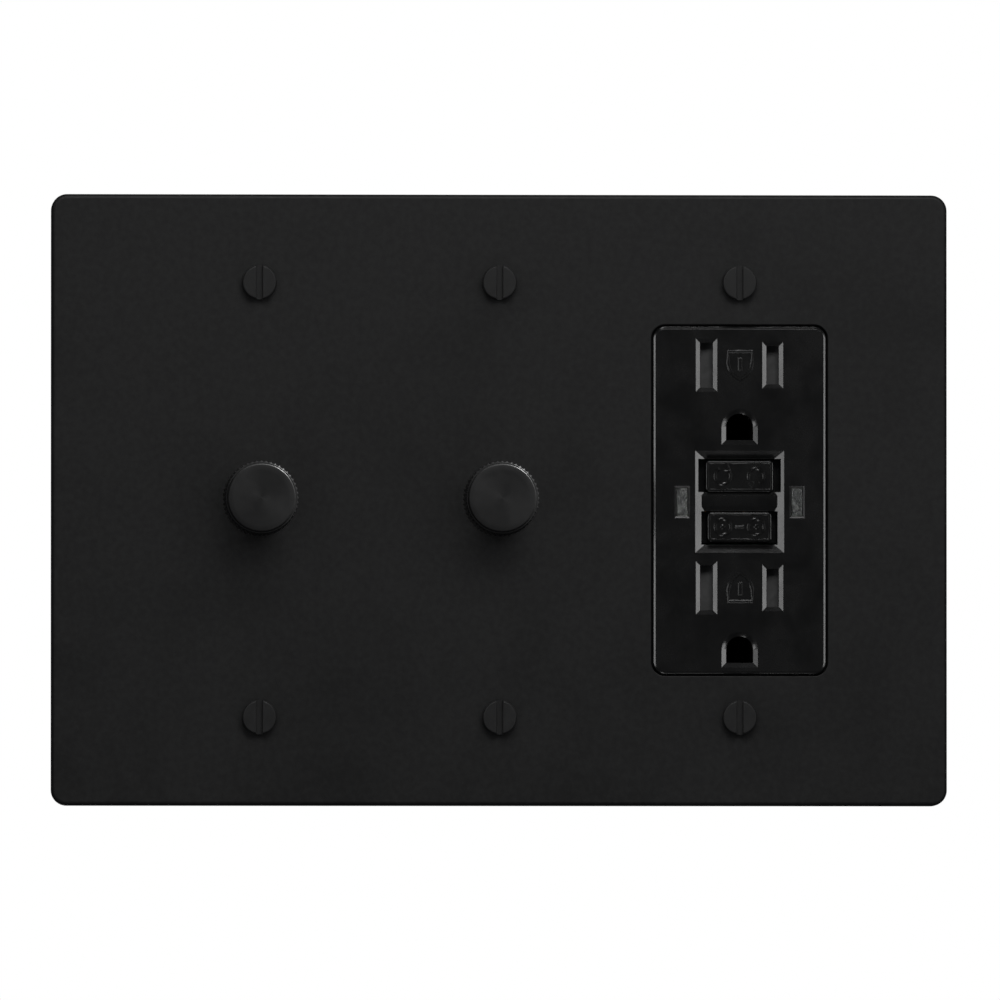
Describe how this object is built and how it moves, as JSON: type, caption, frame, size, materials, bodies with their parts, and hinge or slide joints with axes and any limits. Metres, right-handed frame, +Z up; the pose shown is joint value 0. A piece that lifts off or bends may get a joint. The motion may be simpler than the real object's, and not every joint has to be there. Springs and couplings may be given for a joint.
{
  "type": "wall plate cover",
  "caption": "Matt black three-gang wall plate holding knurled push-and-turn dimmer knobs and a double receptacle with test and reset buttons.",
  "frame": {"origin": "centre of the six fixing screws in the plane of the wall (y = 0)", "axes": "+X to the viewer's right, +Z up, +Y into the wall, so the visible front faces -Y"},
  "size_m": [0.1718, 0.049, 0.1172],
  "materials": {
    "plate_black": "matte powder coat",
    "screw_black": "satin black",
    "knob_black": "satin black, turned front",
    "face_black": "fine moulded, semi gloss",
    "button_black": "semi gloss",
    "shutter_grey": "matte",
    "lens_clear": "clear moulded lens",
    "case_black": "matte thermoset",
    "nylon_white": "natural nylon",
    "zinc_steel": "zinc plated",
    "nickel_steel": "nickel plated",
    "yoke_aluminium": "satin",
    "brass": "satin",
    "bronze_spring": "satin",
    "green_screw": "green dyed",
    "board_green": "solder resist",
    "copper_winding": "enamelled",
    "ferrite": "matte",
    "package_black": "epoxy"
  },
  "bodies": {
    "root": {"wall_plate": "plate_black", "plate_screws": "screw_black", "bushing_nuts": "nickel_steel", "bushing_washers": "zinc_steel", "dimmer_case_screws": "zinc_steel", "brass_terminal_screws": "brass", "terminal_clamps": "zinc_steel", "ground_screws": "green_screw", "receptacle_face": "face_black", "receptacle_yoke": "zinc_steel", "receptacle_frame": "nylon_white", "receptacle_body": "case_black", "ground_contacts": "brass", "hot_contact": "brass", "neutral_contact": "brass", "reset_spring": "zinc_steel", "test_contact_spring": "bronze_spring", "light_lenses": "lens_clear", "upper_shutter_spring": "zinc_steel", "lower_shutter_spring": "zinc_steel", "sense_board": "board_green", "sense_transformer": "ferrite", "solenoid_coil": "copper_winding", "silver_terminal_screws": "nickel_steel", "housing_screws": "zinc_steel", "left_bushing_housing": "brass", "left_yoke": "yoke_aluminium", "left_rear_case": "case_black", "left_circuit_board": "board_green", "left_choke": "copper_winding", "left_triac": "package_black", "left_plunger_spring": "zinc_steel", "left_push_switch": "package_black", "middle_bushing_housing": "brass", "middle_yoke": "yoke_aluminium", "middle_rear_case": "case_black", "middle_circuit_board": "board_green", "middle_choke": "copper_winding", "middle_triac": "package_black", "middle_plunger_spring": "zinc_steel", "middle_push_switch": "package_black"},
    "reset": {"reset_button": "button_black", "latch_pin": "nickel_steel"},
    "test": {"test_button": "button_black"},
    "lifter": {"contact_lifter": "nylon_white"},
    "solenoid": {"solenoid_plunger": "nickel_steel"},
    "upper_shutter": {"upper_shutter": "shutter_grey"},
    "lower_shutter": {"lower_shutter": "shutter_grey"},
    "left_push": {"left_switch_plunger": "nylon_white"},
    "left_knob": {"left_knob": "knob_black", "left_grub_screw": "zinc_steel", "left_shaft": "nickel_steel"},
    "left_rotor": {"left_rotor": "nylon_white", "left_wiper": "bronze_spring"},
    "middle_push": {"middle_switch_plunger": "nylon_white"},
    "middle_knob": {"middle_knob": "knob_black", "middle_grub_screw": "zinc_steel", "middle_shaft": "nickel_steel"},
    "middle_rotor": {"middle_rotor": "nylon_white", "middle_wiper": "bronze_spring"}
  },
  "joints": [
    {"name": "left_knob_push", "type": "slide", "parent": "root", "child": "left_push", "axis": [0, 1, 0], "range_m": [0, 0.0014], "stiffness_N_per_m": 900, "deforming": ["left_plunger_spring"]},
    {"name": "left_knob_turn", "type": "hinge", "parent": "left_push", "child": "left_knob", "pos_m": [-0.04604, -0.012, 0], "axis": [0, -1, 0], "range_deg": [-140, 140]},
    {"name": "left_rotor_turn", "type": "hinge", "parent": "root", "child": "left_rotor", "pos_m": [-0.04604, 0.0034, 0], "axis": [0, -1, 0], "range_deg": [-140, 140]},
    {"name": "middle_knob_push", "type": "slide", "parent": "root", "child": "middle_push", "axis": [0, 1, 0], "range_m": [0, 0.0014], "stiffness_N_per_m": 900, "deforming": ["middle_plunger_spring"]},
    {"name": "middle_knob_turn", "type": "hinge", "parent": "middle_push", "child": "middle_knob", "pos_m": [0, -0.012, 0], "axis": [0, -1, 0], "range_deg": [-140, 140]},
    {"name": "middle_rotor_turn", "type": "hinge", "parent": "root", "child": "middle_rotor", "pos_m": [0, 0.0034, 0], "axis": [0, -1, 0], "range_deg": [-140, 140]},
    {"name": "reset_slide", "type": "slide", "parent": "root", "child": "reset", "axis": [0, 1, 0], "range_m": [-0.0012, 0.0015], "stiffness_N_per_m": 600, "deforming": ["reset_spring"]},
    {"name": "test_slide", "type": "slide", "parent": "root", "child": "test", "axis": [0, 1, 0], "range_m": [0, 0.0015], "stiffness_N_per_m": 600, "deforming": ["test_contact_spring"]},
    {"name": "lifter_slide", "type": "slide", "parent": "root", "child": "lifter", "axis": [0, 1, 0], "range_m": [0, 0.0012], "stiffness_N_per_m": 400, "deforming": ["reset_spring"]},
    {"name": "solenoid_slide", "type": "slide", "parent": "root", "child": "solenoid", "axis": [-1, 0, 0], "range_m": [0, 0.002], "stiffness_N_per_m": 200},
    {"name": "upper_shutter_slide", "type": "slide", "parent": "root", "child": "upper_shutter", "axis": [1, 0, 0], "range_m": [0, 0.0032], "stiffness_N_per_m": 150, "deforming": ["upper_shutter_spring"]},
    {"name": "lower_shutter_slide", "type": "slide", "parent": "root", "child": "lower_shutter", "axis": [1, 0, 0], "range_m": [0, 0.0032], "stiffness_N_per_m": 150, "deforming": ["lower_shutter_spring"]}
  ],
  "couplings": [
    {"joint": "left_rotor_turn", "follows": "left_knob_turn", "ratio": 1},
    {"joint": "middle_rotor_turn", "follows": "middle_knob_turn", "ratio": 1}
  ]
}
